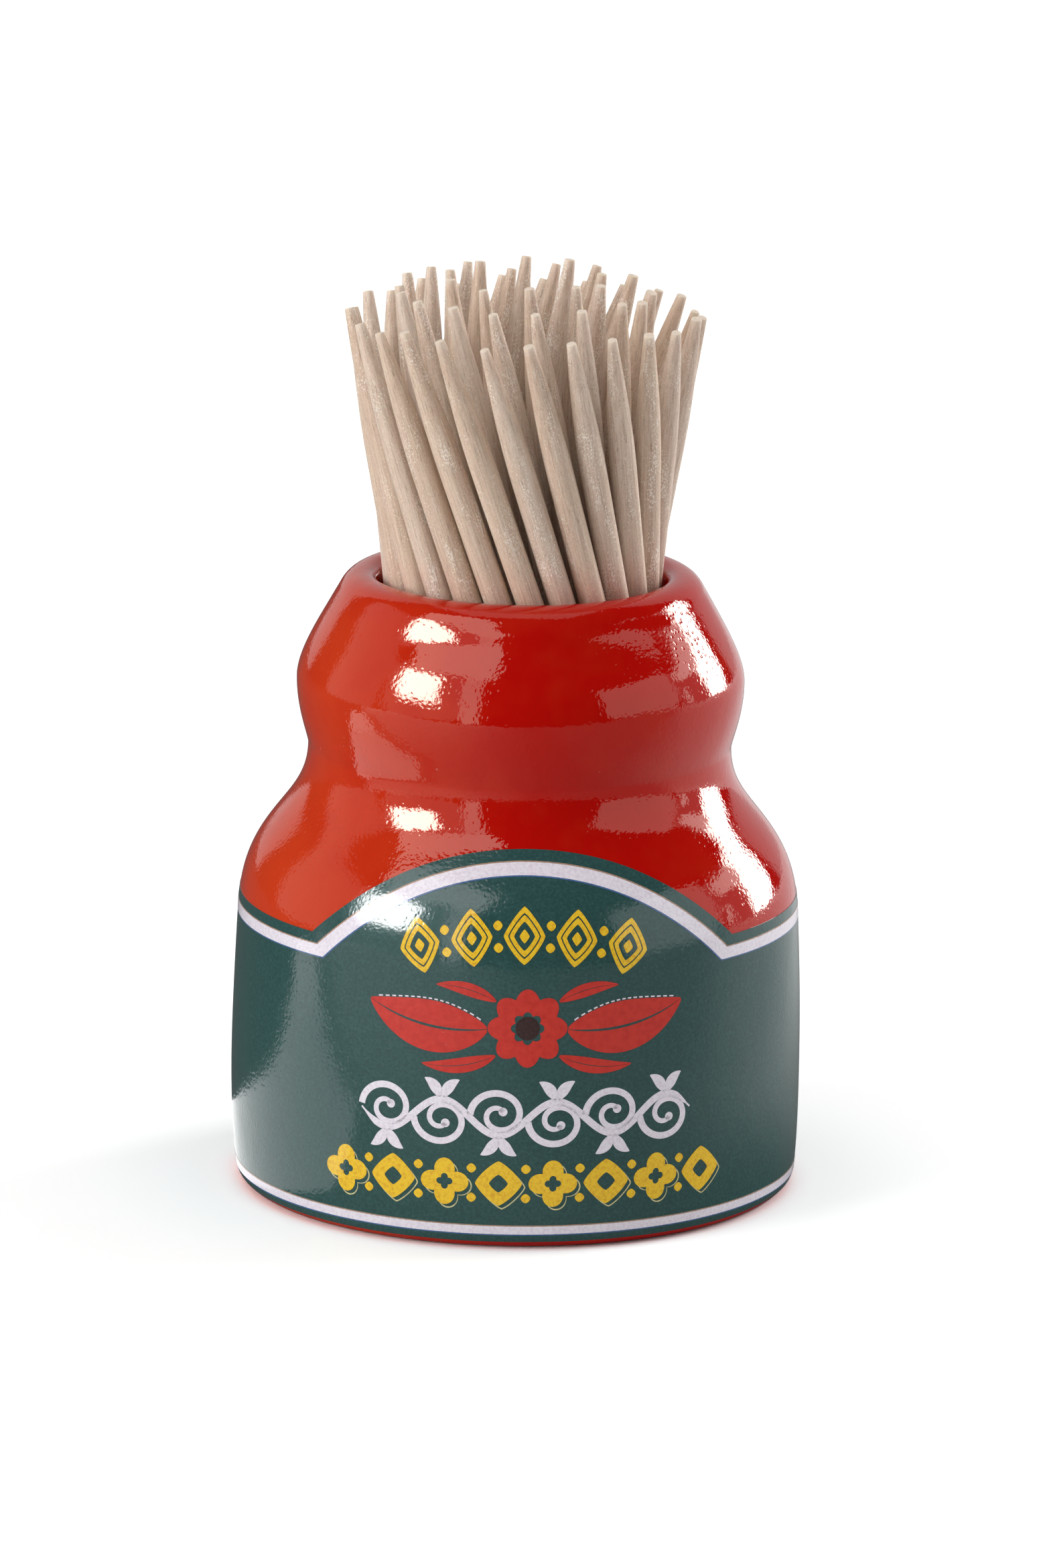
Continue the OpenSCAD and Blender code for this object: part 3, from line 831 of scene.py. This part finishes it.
woodRng = np.random.default_rng(pick["seed"])
wood = birchWood()
for joint in frame["joints"]:
    makePick(joint["child"], joint["axis"], woodRng, wood)


# Table, light and camera

studio = {
    "fill": 0.4, "dark": 0.03, "aimZ": 30.0, "distance": 1.0, "brightFrom": 2.0, "brightDistance": 0.9,
    "tableSeen": 1.33, "tableBounce": 0.75, "tableFront": -0.27, "tableSide": 0.75, "tableBack": 2.5,
    "tableDim": 0.1, "patchZ": 0.1,
}
# Lamps light the scene, and cards are seen in the glaze alone. Each is given by its direction from the jar in
# degrees: azimuth (0 in front, 90 to the right), elevation, width and height, then its strength. A card also
# has the share of its half width over which its edge fades.
lamps = {
    "left_softbox": (-62, 15, 34, 30, 5.5),
    "right_window": (114, 20, 30, 32, 5.5),
    "top_softbox": (0, 80, 60, 60, 0.8),
}
cards = {
    "left_softbox_card": (-58, 24, 29, 26, 28.0, 0.3),
    "left_panel_card": (-43, 47, 44, 18, 3.0, 0.03),
    "left_strip_card": (-26, 17, 10, 46, 2.5, 0.1),
    "left_shade_card": (-54, 18, 46, 44, 0.75, 0.05),
    "far_left_card": (-99, 17, 42, 44, 0.6, 0.2),
    "right_panel_card": (67, 15.5, 50, 38, 1.35, 0.03),
    "right_shade_card": (103, 12, 22, 34, 0.5, 0.05),
    "right_slot_card": (97, 5, 4, 13, 3.2, 0.3),
    "right_flap_card": (106, 22, 20, 10, 3.4, 0.15),
    "right_window_card": (122, 12.5, 22, 33, 16.0, 0.2),
    "back_card": (180, 25, 85, 70, 0.6, 0.1),
    "ceiling_card": (0, 89, 50, 50, 0.9, 0.2),
}
cardPower = 6.0
# Patches of light and of shade on the table, seen in the glaze alone: corners in mm, then strength
tablePatches = {
    "light_patch": ([(-22, -18), (-36, -27), (-49, -34), (-85, -25), (-97, -22), (-97, 7), (-60, 9),
                     (-40, 17), (-22, 20)], 1.6),
    "far_light_patch": ([(-97, -22), (-118, -18), (-165, -16), (-165, 10), (-120, 8), (-97, 7)], 2.1),
    "shade_line": ([(-36, -27), (-49, -34), (-85, -25), (-97, -22), (-118, -18), (-150, -18), (-150, -33),
                    (-85, -36), (-43, -42), (-31, -31)], 0.35),
    "front_shade": ([(6, -46), (28, -46), (28, -95), (6, -95)], 0.3),
}
# How light the glaze sees the table: values that go from one to another between two places along x (0) or
# y (1) in mm. towards_ values choose between the others.
tableTones = {
    "towards_front": (1, 0, -30, 0, 1),
    "left_front": (0, -120, 40, 1.0, 0.3),
    "right": (1, -55, 15, 0.4, 0.95),
    "towards_right": (0, 15, 60, 0, 1),
}


# A frame at a distance in a direction from the jar's middle, facing it
def facing(azimuth, elevation, distance):
    a, e = math.radians(azimuth), math.radians(elevation)
    out = Vector((math.sin(a) * math.cos(e), -math.cos(a) * math.cos(e), math.sin(e)))
    spin = out.to_track_quat("Z", "Y").to_matrix().to_4x4()
    return Matrix.Translation(Vector((0, 0, studio["aimZ"] * mm)) + out * distance) @ spin


def makeLamps():
    far = studio["distance"]
    for name, (azimuth, elevation, width, height, strength) in lamps.items():
        lamp = bpy.data.lights.new(name, "AREA")
        lamp.shape = "RECTANGLE"
        lamp.size = 2 * far * math.tan(math.radians(width / 2))
        lamp.size_y = 2 * far * math.tan(math.radians(height / 2))
        lamp.energy = strength * math.pi * lamp.size * lamp.size_y
        holder = bpy.data.objects.new(name, lamp)
        holder.matrix_world = facing(azimuth, elevation, far)
        holder.visible_glossy = False
        sceneObjects.link(holder)


# How far inside its soft edge a point of a card is, from 0 on its outline to 1. Its distance from the middle
# is the sixth root of |x / half width| ^ 6 + |y / half height| ^ 6.
def insideShare(tree, halfX, halfY, edge):
    place = addNode(tree, "ShaderNodeTexCoord").outputs["Object"]
    unit = addNode(tree, "ShaderNodeVectorMath", {"operation": "MULTIPLY"}, i0=place,
                   i1=(1 / halfX, 1 / halfY, 0))
    parts = addNode(tree, "ShaderNodeSeparateXYZ", Vector=unit.outputs[0])
    powers = []
    for part in parts.outputs[:2]:
        size = addNode(tree, "ShaderNodeMath", {"operation": "ABSOLUTE"}, i0=part)
        power = addNode(tree, "ShaderNodeMath", {"operation": "POWER"}, i0=size.outputs[0], i1=cardPower)
        powers.append(power.outputs[0])
    total = addNode(tree, "ShaderNodeMath", {"operation": "ADD"}, i0=powers[0], i1=powers[1])
    reach = addNode(tree, "ShaderNodeMath", {"operation": "POWER"}, i0=total.outputs[0], i1=1 / cardPower)
    return addNode(tree, "ShaderNodeMapRange", smooth, i0=reach.outputs[0], i1=1.0, i2=1 - edge).outputs[0]


# A flat glowing shape that only glossy rays meet. Its edge fades over a share of its half size.
def glowingStage(name, corners, strength, edge, matrix):
    mesh = bpy.data.meshes.new(name)
    mesh.from_pydata(corners, [], [tuple(range(len(corners)))])
    material, tree = newMaterial(name)
    glow = addNode(tree, "ShaderNodeEmission", Strength=strength)
    if edge:
        halfX, halfY = (max(abs(corner[k]) for corner in corners) for k in (0, 1))
        share = insideShare(tree, halfX, halfY, edge)
        clear = addNode(tree, "ShaderNodeBsdfTransparent")
        glow = addNode(tree, "ShaderNodeMixShader", i0=share, i1=clear.outputs[0], i2=glow.outputs[0])
    addNode(tree, "ShaderNodeOutputMaterial", Surface=glow.outputs[0])
    material.cycles.emission_sampling = "NONE"
    mesh.materials.append(material)
    stage = bpy.data.objects.new(name, mesh)
    stage.matrix_world = matrix
    for flag in ("visible_camera", "visible_diffuse", "visible_shadow", "visible_transmission"):
        setattr(stage, flag, False)
    sceneObjects.link(stage)


# The cards, of which the bright ones hang a little nearer, in front of the dim ones, and the table's patches
def makeCards():
    for name, (azimuth, elevation, width, height, strength, edge) in cards.items():
        far = studio["brightDistance"] if strength > studio["brightFrom"] else studio["distance"]
        x, y = (far * math.tan(math.radians(angle / 2)) for angle in (width, height))
        corners = [(-x, -y, 0), (x, -y, 0), (x, y, 0), (-x, y, 0)]
        glowingStage(name, corners, strength, edge, facing(azimuth, elevation, far))
    for name, (corners, strength) in tablePatches.items():
        corners = [(x * mm, y * mm, studio["patchZ"] * mm) for x, y in corners]
        glowingStage(name, corners, strength, 0.0, Matrix())


# White table, overexposed to the camera, which still sees the jar's shadow on it. The glaze sees it as the
# room lights it: dim behind on the left, and brighter in front on the left and all along the right.
def makeTable():
    front, side, back = (studio[k] for k in ("tableFront", "tableSide", "tableBack"))
    mesh = bpy.data.meshes.new("table_top")
    corners = [(-side, front, 0), (side, front, 0), (side, back, 0), (-side, back, 0)]
    mesh.from_pydata(corners, [], [(0, 1, 2, 3)])
    material, tree = newMaterial("white_table")
    path = addNode(tree, "ShaderNodeLightPath").outputs
    place = addNode(tree, "ShaderNodeTexCoord").outputs["Object"]
    parts = addNode(tree, "ShaderNodeSeparateXYZ", Vector=place)
    tones = {}
    for name, (axis, start, end, first, last) in tableTones.items():
        tones[name] = addNode(tree, "ShaderNodeMapRange", smooth, i0=parts.outputs[axis], i1=start * mm,
                              i2=end * mm, i3=first, i4=last).outputs[0]
    left = addNode(tree, "ShaderNodeMix", valueMix, i0=tones["towards_front"], i2=studio["tableDim"],
                   i3=tones["left_front"])
    inGlaze = addNode(tree, "ShaderNodeMix", valueMix, i0=tones["towards_right"], i2=left.outputs[0],
                      i3=tones["right"])
    plain = addNode(tree, "ShaderNodeMix", valueMix, i0=path["Is Camera Ray"], i2=studio["tableBounce"],
                    i3=studio["tableSeen"])
    level = addNode(tree, "ShaderNodeMix", valueMix, i0=path["Is Glossy Ray"], i2=plain.outputs[0],
                    i3=inGlaze.outputs[0]).outputs[0]
    shade = addNode(tree, "ShaderNodeCombineColor", i0=level, i1=level, i2=level)
    surface = addNode(tree, "ShaderNodeBsdfDiffuse", Color=shade.outputs[0])
    addNode(tree, "ShaderNodeOutputMaterial", Surface=surface.outputs[0])
    mesh.materials.append(material)
    table = bpy.data.objects.new("table_top", mesh)
    sceneObjects.link(table)


# White all round for the camera, an even grey fill for everything else, and a dark room for the glaze
def makeWorld():
    world = bpy.data.worlds.new("studio_world")
    bpy.context.scene.world = world
    world.use_nodes = True
    tree = world.node_tree
    tree.nodes.clear()
    path = addNode(tree, "ShaderNodeLightPath").outputs
    fill = addNode(tree, "ShaderNodeMix", valueMix, i0=path["Is Glossy Ray"], i2=studio["fill"],
                   i3=studio["dark"])
    level = addNode(tree, "ShaderNodeMix", valueMix, i0=path["Is Camera Ray"], i2=fill.outputs[0], i3=1.0)
    sky = addNode(tree, "ShaderNodeBackground", Color=(1, 1, 1, 1), Strength=level.outputs[0])
    addNode(tree, "ShaderNodeOutputWorld", Surface=sky.outputs[0])


# The camera: its elevation in degrees, its distance in metres, and the height in mm of the point of the jar's
# axis that falls on targetPixel, with roll in degrees about the line of sight
cameraView = {
    "elevation": 14.3, "distance": 0.906, "targetZ": 22.65, "targetPixel": (773.2, 1325.2), "roll": 0.75,
    "framePixels": (1560, 2340), "focalPixels": 17706, "sensor": 36.0, "clip": (0.05, 20),
}


# The camera looks at the target and is then turned aside until the target falls on its pixel
def makeCamera():
    c = cameraView
    e = math.radians(c["elevation"])
    target = Vector((0, 0, c["targetZ"] * mm))
    back = Vector((0, -math.cos(e), math.sin(e)))
    width, height = c["framePixels"]
    offX = (c["targetPixel"][0] - width / 2) / c["focalPixels"]
    offY = (height / 2 - c["targetPixel"][1]) / c["focalPixels"]
    look = back.to_track_quat("Z", "Y").to_matrix().to_4x4()
    roll = Matrix.Rotation(math.radians(c["roll"]), 4, "Z")
    aim = Matrix.Rotation(math.atan(offX), 4, "Y") @ Matrix.Rotation(-math.atan(offY), 4, "X")
    data = bpy.data.cameras.new("camera")
    data.sensor_width = c["sensor"]
    data.lens = c["focalPixels"] * c["sensor"] / height
    data.clip_start, data.clip_end = c["clip"]
    camera = bpy.data.objects.new("camera", data)
    camera.matrix_world = Matrix.Translation(target + back * c["distance"]) @ look @ roll @ aim
    sceneObjects.link(camera)
    bpy.context.scene.camera = camera


makeTable()
makeLamps()
makeCards()
makeWorld()
makeCamera()
bpy.context.scene.view_settings.view_transform = "Standard"
print("studio made")
